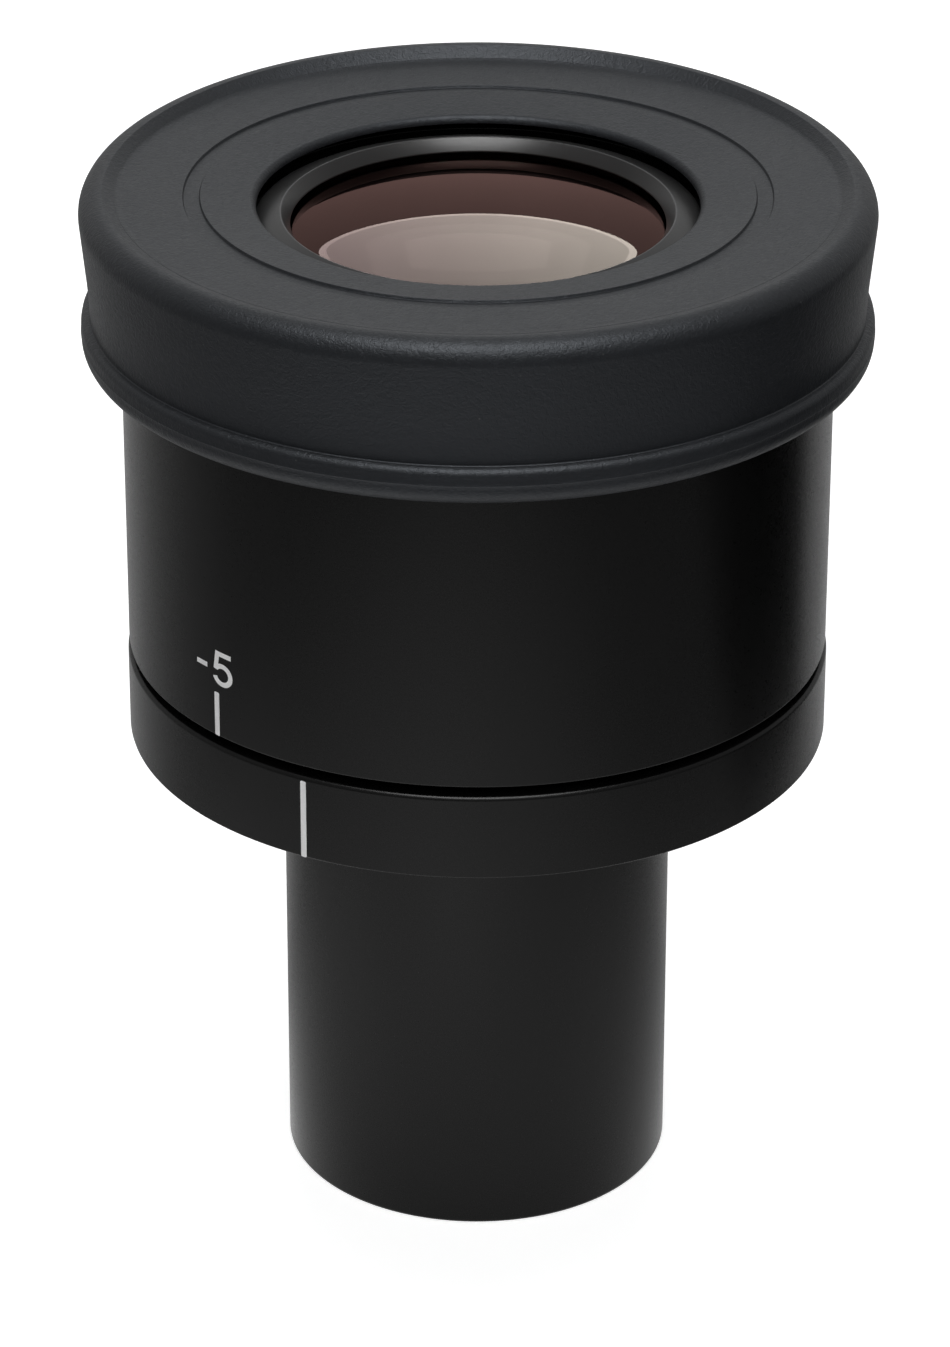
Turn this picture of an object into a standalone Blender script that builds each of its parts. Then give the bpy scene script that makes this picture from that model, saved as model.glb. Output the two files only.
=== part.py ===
import math

import bmesh
import bpy
from mathutils import Matrix, Vector

# Focusing eyepiece with a 30 mm push-in tube. The Z axis is the optical axis, the tube's open end
# stands on z = 0, and -Y is the front. Lengths are metres, through MM.
MM = 0.001

# Clearances.
SEAT_GAP = 0.3 * MM  # between pieces that bear on each other
RUN_GAP = 0.3 * MM  # beside pieces that turn or slide
CEMENT_GAP = 0.1 * MM  # cement layer of a doublet

# Round pieces: sides of the large outer ones, the inner ones, and small screws.
OUTER_SIDES = 60
INNER_SIDES = 40
SCREW_SIDES = 12
LENS_STEPS = 3  # rings of facets on a lens surface

# Insertion tube and the field stop inside it.
TUBE_R = 15.0 * MM
TUBE_WALL = 1.3 * MM
TUBE_LENGTH = 37.4 * MM  # open end to seating shoulder
TUBE_CHAMFER = 0.4 * MM
TUBE_FLANGE = 1.2 * MM
TUBE_CLAMP = 1.8 * MM  # width of flange held under the sleeve
STOP_DEPTH = 10.0 * MM  # seating shoulder down to the field stop
STOP_RIM = 2.4 * MM  # leaves an aperture for a 22 mm field number
STOP_THICKNESS = 0.8 * MM
LEDGE_WIDTH = 1.3 * MM
LEDGE_THICKNESS = 1.4 * MM
STOP_RETAINER_HEIGHT = 3.0 * MM
STOP_RETAINER_WALL = 1.2 * MM

# Base ring with the index line.
RING_FLOOR = 2.2 * MM
RING_RIM = 0.9 * MM  # rim above the sleeve's flange
RING_STEP = 0.1 * MM  # how far the ring stands out past the knob
RING_CHAMFER = 0.3 * MM

# Optics: radius of the edge, edge thickness of the bulging lenses, centre thickness of the hollow
# ones, and radii of the surfaces.
EYE_LENS_R = 14.9 * MM
EYE_LENS_EDGE = 2.0 * MM
EYE_LENS_TOP = 75.0 * MM
EYE_LENS_BOTTOM = 45.0 * MM
EYE_AIR_GAP = 1.2 * MM
CROWN_EDGE = 2.4 * MM
CROWN_TOP = 40.0 * MM
CEMENTED = 32.0 * MM
FLINT_THICKNESS = 1.8 * MM
FLINT_BOTTOM = 80.0 * MM
FIELD_CROWN_EDGE = 1.0 * MM
FIELD_CROWN_TOP = 60.0 * MM
FIELD_CEMENTED = 45.0 * MM
FIELD_FLINT_THICKNESS = 1.4 * MM
FIELD_FLINT_BOTTOM = 55.0 * MM

# Lens cell, which slides in the guide sleeve.
CELL_WALL = 2.7 * MM
CELL_FLANGE = 2.0 * MM
CELL_FLANGE_REACH = 1.3 * MM  # past the nut's bore
CELL_SETBACK = 1.2 * MM  # cell's top below the knob's neck
CELL_PASSAGE_STEP = 1.2 * MM  # light passage inside the lens bore
CELL_RIM = 1.0 * MM  # wall round the eye lens retainer
NOSE_LENGTH = 7.0 * MM
NOSE_WALL = 0.8 * MM
NOSE_GAP = 0.4 * MM
FIELD_LEDGE = 0.9 * MM
FIELD_RETAINER_WALL = 0.8 * MM
FIELD_RETAINER_HEIGHT = 1.6 * MM
SPACER_WALL = 1.0 * MM

# Eye lens retainer: a ring whose crest stands round the lens.
RETAINER_DEPTH = 0.9 * MM  # below the cell's top
RETAINER_EDGE = 0.5 * MM  # outer edge above the cell's top
RETAINER_LIP = 0.87 * MM  # underside of the lip above the cell's top
RETAINER_CREST = 1.9 * MM  # crest above the cell's top
RETAINER_COVER = 0.93 * MM  # lens rim hidden under the lip
RETAINER_CONE = 0.69 * MM  # width of the cone inside the crest

# Guide sleeve and the three-start helicoid cut in it.
SLEEVE_WALL = 2.2 * MM
SLEEVE_FLANGE = 1.8 * MM
SLEEVE_FLANGE_REACH = 3.6 * MM
SLEEVE_HEIGHT = 18.8 * MM
THREAD_STARTS = 3
THREAD_DEPTH = 1.2 * MM
THREAD_WIDTH = 2.4 * MM
THREAD_SIDE_GAP = 0.3 * MM
DIOPTRE_TRAVEL = 0.625 * MM  # lens travel for one dioptre at a focal length of 25 mm
DIOPTRE_ANGLE = math.radians(18.0)  # turn of the knob for one dioptre
DIOPTRE_RANGE = 12.0  # from stop to stop
LUG_SWEEP = math.radians(60.0)
LUG_HEIGHT = 2.0 * MM  # lug's lower end above the nut's lower end
GROOVE_RUN_IN = math.radians(4.0)
GROOVE_STEP = math.radians(15.0)
LUG_STEP = math.radians(7.5)

# Helicoid nut, knob and the rings that trap the cell's flange.
NUT_WALL = 1.1 * MM
NUT_RECESS = 2.2 * MM  # nut's lower end above the knob's
WASHER_THICKNESS = 0.4 * MM
WASHER_WAVE = 0.25 * MM
WASHER_WAVES = 3
THRUST_HEIGHT = 1.6 * MM
KNOB_GAP = 0.72 * MM  # at the lower stop
KNOB_WALL = 3.05 * MM
KNOB_HEIGHT = 30.68 * MM
KNOB_CHAMFER = 0.25 * MM
KNOB_SHOULDER_CHAMFER = 0.4 * MM
KNOB_WEB = 1.6 * MM
NECK_WALL = 2.2 * MM
NECK_HEIGHT = 3.1 * MM
NECK_GAP = 0.4 * MM

# Rubber eyecup, folded down over the knob.
CUP_SIDE_GAP = 0.36 * MM  # skirt to knob
CUP_COLLAR_WALL = 1.9 * MM
CUP_OVERHANG = 1.82 * MM  # inner lip past the neck's bore
CUP_LIP = 1.3 * MM  # rubber over the neck, at the aperture
CUP_LIP_RADIUS = 0.45 * MM
CUP_TOP_RISE = 0.5 * MM  # aperture's edge up to the fold groove
CUP_GROOVE_WIDTH = 1.3 * MM
CUP_GROOVE_DEPTH = 0.5 * MM
CUP_GROOVE_SETBACK = 0.1 * MM  # groove's inner edge outside the neck
CUP_CREASE_RISE = 0.12 * MM  # fold groove up to the crease
CUP_ROLL_RISE = 0.34 * MM  # crease up to the top of the rolled shoulder
CUP_WEB = 1.72 * MM
CUP_WALL = 2.54 * MM  # at the shoulder
CUP_WAIST_WALL = 1.97 * MM
CUP_SHOULDER_RADIUS = 2.0 * MM
CUP_CREASE_SETBACK = 2.7 * MM  # crease inside the shoulder's edge
CUP_HEIGHT = 12.22 * MM  # crease down to the bead's underside
CUP_BEAD_HEIGHT = 3.0 * MM
CUP_BEAD_PROUD = 0.69 * MM  # past the wall above it
CUP_BEAD_RADIUS = 1.4 * MM  # rounding of the bead's underside
CUP_WAIST_DROP = 7.12 * MM  # crease down to the waist
CUP_WAIST_STEP = 0.1 * MM  # waist to the wall just above the bead

# Screws and the guide key.
SCREW_COUNT = 3
SCREW_R = 0.8 * MM
SCREW_HEAD_R = 1.3 * MM
SCREW_HEAD = 0.8 * MM
SCREW_LENGTH = 2.9 * MM
SCREW_RECESS = 1.2 * MM
SLOT_WIDTH = 0.4 * MM
SLOT_DEPTH = 0.35 * MM
LOCK_SCREW_LENGTH = 2.6 * MM
LOCK_SCREW_DROP = 4.0 * MM  # below the knob's shoulder
KEY_WIDTH = 2.4 * MM
KEY_LENGTH = 5.0 * MM
KEY_DEPTH = 0.9 * MM  # let into the cell
KEY_TIP_GAP = 0.2 * MM
KEY_RISE = 1.5 * MM  # above the sleeve's flange
KEY_SCREW_R = 0.5 * MM
KEY_SCREW_HEAD_R = 0.8 * MM
KEY_SCREW_HEAD = 0.5 * MM
KEY_SCREW_LENGTH = 3.0 * MM
SPANNER_WIDTH = 1.6 * MM
SPANNER_DEPTH = 0.7 * MM

# Angles round the axis, counter-clockwise from +X seen from above.
KEY_ANGLE = math.radians(90.0)
SLEEVE_SCREW_ANGLE = math.radians(25.0)
LOCK_SCREW_ANGLE = math.radians(33.0)
THREAD_ANGLE = math.radians(20.0)

# What follows from the sizes above: radii, from the axis outwards.
tubeBore = TUBE_R - TUBE_WALL
noseR = tubeBore - NOSE_GAP
noseBore = noseR - NOSE_WALL
fieldLensR = noseBore - SEAT_GAP
lensBore = EYE_LENS_R + SEAT_GAP
passageR = lensBore - CELL_PASSAGE_STEP
cellR = lensBore + CELL_WALL
sleeveBore = cellR + RUN_GAP
sleeveR = sleeveBore + SLEEVE_WALL
tubeFlangeR = sleeveBore + TUBE_CLAMP
sleeveFlangeR = sleeveR + SLEEVE_FLANGE_REACH
nutBore = sleeveR + RUN_GAP
cellFlangeR = nutBore + CELL_FLANGE_REACH
nutPocketR = cellFlangeR + RUN_GAP
nutR = nutPocketR + NUT_WALL
knobBore = nutR + SEAT_GAP
knobR = knobBore + KNOB_WALL
ringR = knobR + RING_STEP
neckBore = cellR + NECK_GAP
neckR = neckBore + NECK_WALL
retainerR = cellR - CELL_RIM - SEAT_GAP
lead = DIOPTRE_TRAVEL * 2.0 * math.pi / DIOPTRE_ANGLE
travel = DIOPTRE_TRAVEL * DIOPTRE_RANGE

# Heights, from the open end of the tube upwards.
shoulderZ = TUBE_LENGTH
tubeFlangeZ = shoulderZ + RING_FLOOR + SEAT_GAP
tubeTopZ = tubeFlangeZ + TUBE_FLANGE
sleeveZ = tubeTopZ + SEAT_GAP
sleeveFlangeTopZ = sleeveZ + SLEEVE_FLANGE
sleeveTopZ = sleeveFlangeTopZ + SLEEVE_HEIGHT
ringTopZ = sleeveFlangeTopZ + RING_RIM
knobZ = ringTopZ + KNOB_GAP
knobShoulderZ = knobZ + KNOB_HEIGHT
neckTopZ = knobShoulderZ + NECK_HEIGHT
nutZ = knobZ + NUT_RECESS
nutTopZ = knobShoulderZ - KNOB_WEB - SEAT_GAP
cellStepZ = sleeveZ + SEAT_GAP
cellFlangeZ = sleeveTopZ + SEAT_GAP
cellTopZ = neckTopZ - CELL_SETBACK
washerZ = cellFlangeZ + CELL_FLANGE + SEAT_GAP
thrustZ = washerZ + WASHER_WAVE + WASHER_THICKNESS + SEAT_GAP
stopZ = shoulderZ - STOP_DEPTH
keyZ = sleeveFlangeTopZ + KEY_RISE


# Depth of a spherical surface at a radius from the axis.
def sag(radius, curve):
    return curve - math.sqrt(curve * curve - radius * radius)


# Heights of the lens surfaces: each name is the height on the axis.
lipR = EYE_LENS_R - RETAINER_COVER
eyeTopZ = cellTopZ + RETAINER_LIP - SEAT_GAP + sag(lipR, EYE_LENS_TOP)
eyeBottomZ = eyeTopZ - sag(EYE_LENS_R, EYE_LENS_TOP) - EYE_LENS_EDGE - sag(EYE_LENS_R, EYE_LENS_BOTTOM)
crownTopZ = eyeBottomZ - EYE_AIR_GAP
crownBottomZ = crownTopZ - sag(EYE_LENS_R, CROWN_TOP) - CROWN_EDGE - sag(EYE_LENS_R, CEMENTED)
flintTopZ = crownBottomZ - CEMENT_GAP
flintBottomZ = flintTopZ - FLINT_THICKNESS
lensLedgeZ = flintBottomZ - sag(EYE_LENS_R, FLINT_BOTTOM) - SEAT_GAP
noseZ = cellStepZ - NOSE_LENGTH
fieldFlintEdgeZ = noseZ + 2.0 * SEAT_GAP + FIELD_RETAINER_HEIGHT
fieldFlintBottomZ = fieldFlintEdgeZ + sag(fieldLensR, FIELD_FLINT_BOTTOM)
fieldFlintTopZ = fieldFlintBottomZ + FIELD_FLINT_THICKNESS
fieldCrownBottomZ = fieldFlintTopZ + CEMENT_GAP
fieldCrownEdgeZ = fieldCrownBottomZ + sag(fieldLensR, FIELD_CEMENTED) + FIELD_CROWN_EDGE
fieldCrownTopZ = fieldCrownEdgeZ + sag(fieldLensR, FIELD_CROWN_TOP)
fieldLedgeZ = fieldCrownEdgeZ + SEAT_GAP

# Finishes: colour, roughness, metallic, and how much light passes.
ANODISED = ((0.012, 0.012, 0.013), 0.38, 0.6, 0.0)
MATT_BLACK = ((0.008, 0.008, 0.008), 0.7, 0.2, 0.0)
BRASS = ((0.55, 0.38, 0.16), 0.35, 1.0, 0.0)
STEEL = ((0.56, 0.56, 0.58), 0.3, 1.0, 0.0)
RUBBER = ((0.035, 0.036, 0.038), 0.6, 0.0, 0.0)
GLASS = ((0.95, 0.96, 0.97), 0.02, 0.0, 1.0)


# A material of the piece's own, with one of the finishes.
def paint(piece, finish):
    colour, roughness, metallic, transmission = finish
    material = bpy.data.materials.new(piece.name)
    material.use_nodes = True
    shader = material.node_tree.nodes["Principled BSDF"]
    shader.inputs["Base Color"].default_value = (*colour, 1.0)
    shader.inputs["Roughness"].default_value = roughness
    shader.inputs["Metallic"].default_value = metallic
    shader.inputs["Transmission Weight"].default_value = transmission
    material.diffuse_color = (*colour, 1.0)
    piece.data.materials.append(material)


# Turns a bmesh into an object in the scene, with its faces pointing out and its curves smooth.
def makeObject(name, bm, height, parent):
    bmesh.ops.recalc_face_normals(bm, faces=bm.faces)
    mesh = bpy.data.meshes.new(name)
    bm.to_mesh(mesh)
    bm.free()
    mesh.shade_smooth()
    mesh.set_sharp_from_angle(angle=math.radians(30.0))
    piece = bpy.data.objects.new(name, mesh)
    piece.location.z = height
    piece.parent = parent
    bpy.context.scene.collection.objects.link(piece)
    return piece


# A point that a moving group of pieces hangs from, on the group's axis.
def axisEmpty(name, parent):
    empty = bpy.data.objects.new(name, None)
    empty.empty_display_size = TUBE_R
    empty.parent = parent
    bpy.context.scene.collection.objects.link(empty)
    return empty


# A turned solid. The outline lists radius and height; it is closed, or ends on the axis twice.
def turnedMesh(outline, sides):
    bm = bmesh.new()
    corners = [bm.verts.new((radius, 0.0, height)) for radius, height in outline]
    edges = [bm.edges.new(pair) for pair in zip(corners, corners[1:])]
    if outline[0][0] > 0.0:
        edges.append(bm.edges.new((corners[-1], corners[0])))
    bmesh.ops.spin(
        bm,
        geom=corners + edges,
        axis=(0.0, 0.0, 1.0),
        cent=(0.0, 0.0, 0.0),
        angle=2.0 * math.pi,
        steps=sides,
        use_merge=True,
    )
    bmesh.ops.remove_doubles(bm, verts=bm.verts, dist=0.001 * MM)
    return bm


def turned(name, base, outline, sides, finish, parent=None):
    above = [(radius, height - base) for radius, height in outline]
    piece = makeObject(name, turnedMesh(above, sides), base, parent)
    paint(piece, finish)
    return piece


# A plain ring between two radii and two heights.
def plainRing(innerR, outerR, low, high):
    return [(innerR, low), (outerR, low), (outerR, high), (innerR, high)]


# A lens outline. A positive curve bulges outwards on either surface, a negative one is hollow.
def lensOutline(edgeR, bottomZ, bottomCurve, topZ, topCurve):
    radii = [edgeR * step / LENS_STEPS for step in range(LENS_STEPS + 1)]
    bottomSide = math.copysign(1.0, bottomCurve)
    topSide = math.copysign(1.0, topCurve)
    bottom = [(radius, bottomZ + bottomSide * sag(radius, abs(bottomCurve))) for radius in radii]
    top = [(radius, topZ - topSide * sag(radius, abs(topCurve))) for radius in radii]
    return bottom + top[::-1]


# Points on a round corner, from one angle to another, with the end points.
def corner(centreR, centreZ, radius, fromAngle, toAngle, steps):
    points = []
    for step in range(steps + 1):
        angle = math.radians(fromAngle + (toAngle - fromAngle) * step / steps)
        points.append((centreR + radius * math.cos(angle), centreZ + radius * math.sin(angle)))
    return points


# A bar of rectangular section that climbs round the axis with the thread's lead.
def helicalBar(name, innerR, outerR, width, angle, middleZ, sweep, stepAngle, parent):
    bm = bmesh.new()
    section = plainRing(innerR, outerR, middleZ - width / 2.0, middleZ + width / 2.0)
    turn = Matrix.Rotation(angle, 3, "Z")
    corners = [bm.verts.new(turn @ Vector((radius, 0.0, height))) for radius, height in section]
    edges = [bm.edges.new((corners[index - 1], corners[index])) for index in range(len(corners))]
    steps = math.ceil(sweep / stepAngle)
    bmesh.ops.spin(
        bm,
        geom=corners + edges,
        axis=(0.0, 0.0, 1.0),
        cent=(0.0, 0.0, 0.0),
        dvec=(0.0, 0.0, lead * sweep / (2.0 * math.pi) / steps),
        angle=sweep,
        steps=steps,
    )
    ends = [edge for edge in bm.edges if edge.is_boundary]
    bmesh.ops.holes_fill(bm, edges=ends, sides=len(section))
    return makeObject(name, bm, 0.0, parent)


# A cylinder along the axis or, when it is laid over, pointing outwards.
def rod(name, radius, low, high, sides, parent):
    outline = [(0.0, low), (radius, low), (radius, high), (0.0, high)]
    return makeObject(name, turnedMesh(outline, sides), 0.0, parent)


def block(name, sizeX, sizeY, lowZ, highZ, parent):
    bm = bmesh.new()
    bmesh.ops.create_cube(bm, size=1.0)
    bmesh.ops.scale(bm, vec=(sizeX, sizeY, highZ - lowZ), verts=bm.verts)
    return makeObject(name, bm, (lowZ + highZ) / 2.0, parent)


# Places a piece built upright on the axis at a radius and an angle, standing as it was built.
def standAt(piece, radius, angle):
    piece.location.x = radius * math.cos(angle)
    piece.location.y = radius * math.sin(angle)
    piece.rotation_euler.z = angle


# Places a piece built upright on the axis so that its top points outwards at an angle.
def pointOutwards(piece, radius, height, angle):
    piece.location = (radius * math.cos(angle), radius * math.sin(angle), height)
    piece.rotation_euler = (0.0, math.pi / 2.0, angle)


# Cuts one piece with another, or welds another to it, and hides the tool.
def combine(piece, tool, operation):
    modifier = piece.modifiers.new(tool.name, "BOOLEAN")
    modifier.operation = operation
    modifier.solver = "EXACT"
    modifier.object = tool
    tool.display_type = "WIRE"
    tool.hide_render = True


def evenAngles(count, first):
    return [first + 2.0 * math.pi * index / count for index in range(count)]


# A pair of notches across the top or the bottom of a ring, for a pin spanner.
def cutSpannerSlots(ring, outerR, lowZ, highZ, parent):
    slots = block(f"{ring.name}_slots", 3.0 * outerR, SPANNER_WIDTH, lowZ, highZ, parent)
    combine(ring, slots, "DIFFERENCE")


# A screw with a slotted head, built upright with the underside of its head at height 0.
def screw(name, radius, headR, headHeight, length, finish, parent):
    outline = [(0.0, -length), (radius, -length)]
    if headR > radius:
        outline += [(radius, 0.0), (headR, 0.0)]
    outline += [(headR, headHeight), (0.0, headHeight)]
    piece = makeObject(name, turnedMesh(outline, SCREW_SIDES), 0.0, parent)
    slotZ = headHeight - SLOT_DEPTH
    slot = block(f"{name}_slot", 3.0 * headR, SLOT_WIDTH, slotZ, slotZ + 2.0 * SLOT_DEPTH, piece)
    combine(piece, slot, "DIFFERENCE")
    paint(piece, finish)
    return piece


# The hole that a screw sits in, with room for its head, built upright like the screw.
def screwHole(name, radius, headR, headHeight, length, gap, parent):
    outline = [
        (0.0, -length - gap),
        (radius + gap, -length - gap),
        (radius + gap, -gap),
        (headR + gap, -gap),
        (headR + gap, headHeight + gap),
        (0.0, headHeight + gap),
    ]
    return makeObject(f"{name}_hole", turnedMesh(outline, SCREW_SIDES), 0.0, parent)


def buildTube():
    innerChamfer = tubeBore + TUBE_CHAMFER / 2.0
    ledgeR = tubeBore - LEDGE_WIDTH
    ledgeZ = stopZ + STOP_THICKNESS + SEAT_GAP
    outline = [
        (innerChamfer, 0.0),
        (TUBE_R - TUBE_CHAMFER, 0.0),
        (TUBE_R, TUBE_CHAMFER),
        (TUBE_R, tubeFlangeZ),
        (tubeFlangeR, tubeFlangeZ),
        (tubeFlangeR, tubeTopZ),
        (tubeBore, tubeTopZ),
        (tubeBore, ledgeZ + LEDGE_THICKNESS),
        (ledgeR, ledgeZ + LEDGE_THICKNESS),
        (ledgeR, ledgeZ),
        (tubeBore, ledgeZ),
        (tubeBore, TUBE_CHAMFER / 2.0),
    ]
    turned("insertion_tube", 0.0, outline, OUTER_SIDES, ANODISED)


def buildFieldStop():
    discR = tubeBore - SEAT_GAP
    disc = plainRing(discR - STOP_RIM, discR, stopZ, stopZ + STOP_THICKNESS)
    turned("field_stop", stopZ, disc, INNER_SIDES, MATT_BLACK)
    topZ = stopZ - SEAT_GAP
    bottomZ = topZ - STOP_RETAINER_HEIGHT
    wall = plainRing(discR - STOP_RETAINER_WALL, discR, bottomZ, topZ)
    retainer = turned("field_stop_retainer", bottomZ, wall, INNER_SIDES, MATT_BLACK)
    cutSpannerSlots(retainer, discR, bottomZ - SPANNER_DEPTH, bottomZ + SPANNER_DEPTH, None)


def buildBaseRing():
    pocketR = sleeveFlangeR + SEAT_GAP
    outline = [
        (TUBE_R + SEAT_GAP, shoulderZ),
        (ringR, shoulderZ),
        (ringR, ringTopZ - RING_CHAMFER),
        (ringR - RING_CHAMFER, ringTopZ),
        (pocketR, ringTopZ),
        (pocketR, sleeveZ - SEAT_GAP),
        (tubeFlangeR + SEAT_GAP, sleeveZ - SEAT_GAP),
        (tubeFlangeR + SEAT_GAP, tubeFlangeZ - SEAT_GAP),
        (TUBE_R + SEAT_GAP, tubeFlangeZ - SEAT_GAP),
    ]
    return turned("base_ring", shoulderZ, outline, OUTER_SIDES, ANODISED)


def buildGuideSleeve():
    outline = [
        (sleeveBore, sleeveZ),
        (sleeveFlangeR, sleeveZ),
        (sleeveFlangeR, sleeveFlangeTopZ),
        (sleeveR, sleeveFlangeTopZ),
        (sleeveR, sleeveTopZ),
        (sleeveBore, sleeveTopZ),
    ]
    sleeve = turned("guide_sleeve", sleeveZ, outline, INNER_SIDES, MATT_BLACK)
    lugZ = nutZ + LUG_HEIGHT
    startZ = lugZ - lead * GROOVE_RUN_IN / (2.0 * math.pi)
    climb = sleeveTopZ + THREAD_WIDTH - startZ
    sweep = climb / lead * 2.0 * math.pi
    for number, angle in enumerate(evenAngles(THREAD_STARTS, THREAD_ANGLE), 1):
        groove = helicalBar(
            f"groove_{number}",
            sleeveR - THREAD_DEPTH,
            sleeveR + THREAD_DEPTH,
            THREAD_WIDTH,
            angle - GROOVE_RUN_IN,
            startZ,
            sweep,
            GROOVE_STEP,
            None,
        )
        combine(sleeve, groove, "DIFFERENCE")
    slotTopZ = keyZ + KEY_LENGTH + travel + SEAT_GAP
    slot = block("key_slot", 2.0 * SLEEVE_WALL, KEY_WIDTH + 2.0 * RUN_GAP, keyZ - SEAT_GAP, slotTopZ, None)
    standAt(slot, (sleeveBore + sleeveR) / 2.0, KEY_ANGLE)
    combine(sleeve, slot, "DIFFERENCE")
    return sleeve


# Screws that hold the sleeve's flange, and the tube's flange under it, down on the base ring.
def buildSleeveScrews(baseRing, sleeve):
    pitchR = (sleeveR + sleeveFlangeR) / 2.0
    headZ = sleeveFlangeTopZ - SCREW_RECESS + SEAT_GAP
    for number, angle in enumerate(evenAngles(SCREW_COUNT, SLEEVE_SCREW_ANGLE), 1):
        name = f"sleeve_screw_{number}"
        piece = screw(name, SCREW_R, SCREW_HEAD_R, SCREW_HEAD, SCREW_LENGTH, STEEL, None)
        hole = screwHole(name, SCREW_R, SCREW_HEAD_R, SCREW_HEAD, SCREW_LENGTH, SEAT_GAP, None)
        for item in (piece, hole):
            item.location.z = headZ
            standAt(item, pitchR, angle)
        combine(baseRing, hole, "DIFFERENCE")
        combine(sleeve, hole, "DIFFERENCE")


def buildLensCell(carriage):
    topPocketZ = cellTopZ - RETAINER_DEPTH - SEAT_GAP
    outline = [
        (noseBore, noseZ),
        (noseR, noseZ),
        (noseR, cellStepZ),
        (cellR, cellStepZ),
        (cellR, cellFlangeZ),
        (cellFlangeR, cellFlangeZ),
        (cellFlangeR, cellFlangeZ + CELL_FLANGE),
        (cellR, cellFlangeZ + CELL_FLANGE),
        (cellR, cellTopZ),
        (retainerR + SEAT_GAP, cellTopZ),
        (retainerR + SEAT_GAP, topPocketZ),
        (lensBore, topPocketZ),
        (lensBore, lensLedgeZ),
        (passageR, lensLedgeZ),
        (passageR, fieldLedgeZ + FIELD_LEDGE),
        (noseBore - FIELD_LEDGE, fieldLedgeZ + FIELD_LEDGE),
        (noseBore - FIELD_LEDGE, fieldLedgeZ),
        (noseBore, fieldLedgeZ),
    ]
    return turned("lens_cell", noseZ, outline, INNER_SIDES, ANODISED, carriage)


def buildEyeLensRetainer(carriage):
    lipZ = cellTopZ + RETAINER_LIP
    outline = [
        (lensBore, cellTopZ - RETAINER_DEPTH),
        (retainerR, cellTopZ - RETAINER_DEPTH),
        (retainerR, cellTopZ + RETAINER_EDGE),
        (lipR + RETAINER_CONE, cellTopZ + RETAINER_CREST),
        (lipR, lipZ + SEAT_GAP / 3.0),
        (lipR, lipZ),
        (lensBore, lipZ),
    ]
    turned("eye_lens_retainer", cellTopZ, outline, OUTER_SIDES, ANODISED, carriage)


def buildLenses(carriage):
    eye = lensOutline(EYE_LENS_R, eyeBottomZ, EYE_LENS_BOTTOM, eyeTopZ, EYE_LENS_TOP)
    turned("eye_lens", eyeBottomZ, eye, INNER_SIDES, GLASS, carriage)
    crown = lensOutline(EYE_LENS_R, crownBottomZ, CEMENTED, crownTopZ, CROWN_TOP)
    turned("middle_crown_lens", crownBottomZ, crown, INNER_SIDES, GLASS, carriage)
    flint = lensOutline(EYE_LENS_R, flintBottomZ, -FLINT_BOTTOM, flintTopZ, -CEMENTED)
    turned("middle_flint_lens", flintBottomZ, flint, INNER_SIDES, GLASS, carriage)
    crown = lensOutline(fieldLensR, fieldCrownBottomZ, FIELD_CEMENTED, fieldCrownTopZ, FIELD_CROWN_TOP)
    turned("field_crown_lens", fieldCrownBottomZ, crown, INNER_SIDES, GLASS, carriage)
    flint = lensOutline(fieldLensR, fieldFlintBottomZ, -FIELD_FLINT_BOTTOM, fieldFlintTopZ, -FIELD_CEMENTED)
    turned("field_flint_lens", fieldFlintBottomZ, flint, INNER_SIDES, GLASS, carriage)


# The rings that keep the lenses apart and hold them in.
def buildLensRings(carriage):
    lowZ = crownTopZ - sag(EYE_LENS_R - SPACER_WALL, CROWN_TOP) + SEAT_GAP
    highZ = eyeBottomZ + sag(EYE_LENS_R - SPACER_WALL, EYE_LENS_BOTTOM) - SEAT_GAP
    spacer = plainRing(EYE_LENS_R - SPACER_WALL, EYE_LENS_R, lowZ, highZ)
    turned("eye_lens_spacer", lowZ, spacer, INNER_SIDES, MATT_BLACK, carriage)
    bottomZ = noseZ + SEAT_GAP
    wall = plainRing(fieldLensR - FIELD_RETAINER_WALL, fieldLensR, bottomZ, bottomZ + FIELD_RETAINER_HEIGHT)
    retainer = turned("field_lens_retainer", bottomZ, wall, INNER_SIDES, MATT_BLACK, carriage)
    cutSpannerSlots(retainer, fieldLensR, bottomZ - SPANNER_DEPTH, bottomZ + SPANNER_DEPTH, carriage)


# The key that stops the cell from turning: let into the cell, it slides in the sleeve's slot.
def buildGuideKey(cell, carriage):
    tipR = sleeveR - THREAD_DEPTH - KEY_TIP_GAP
    rootR = cellR - KEY_DEPTH
    middleZ = keyZ + KEY_LENGTH / 2.0
    key = block("guide_key", tipR - rootR, KEY_WIDTH, keyZ, keyZ + KEY_LENGTH, carriage)
    standAt(key, (tipR + rootR) / 2.0, KEY_ANGLE)
    paint(key, STEEL)
    pocketRoot = rootR - SEAT_GAP
    pocketTip = cellR + SEAT_GAP
    pocket = block(
        "key_pocket",
        pocketTip - pocketRoot,
        KEY_WIDTH + 2.0 * SEAT_GAP,
        keyZ - SEAT_GAP,
        keyZ + KEY_LENGTH + SEAT_GAP,
        carriage,
    )
    standAt(pocket, (pocketTip + pocketRoot) / 2.0, KEY_ANGLE)
    combine(cell, pocket, "DIFFERENCE")
    name = "guide_key_screw"
    gap = SEAT_GAP / 2.0
    screwSizes = (KEY_SCREW_R, KEY_SCREW_HEAD_R, KEY_SCREW_HEAD, KEY_SCREW_LENGTH)
    piece = screw(name, *screwSizes, STEEL, carriage)
    hole = screwHole(name, *screwSizes, gap, carriage)
    for item in (piece, hole):
        pointOutwards(item, tipR - KEY_SCREW_HEAD - SEAT_GAP / 3.0, middleZ, KEY_ANGLE)
    combine(cell, hole, "DIFFERENCE")
    combine(key, hole, "DIFFERENCE")


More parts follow.
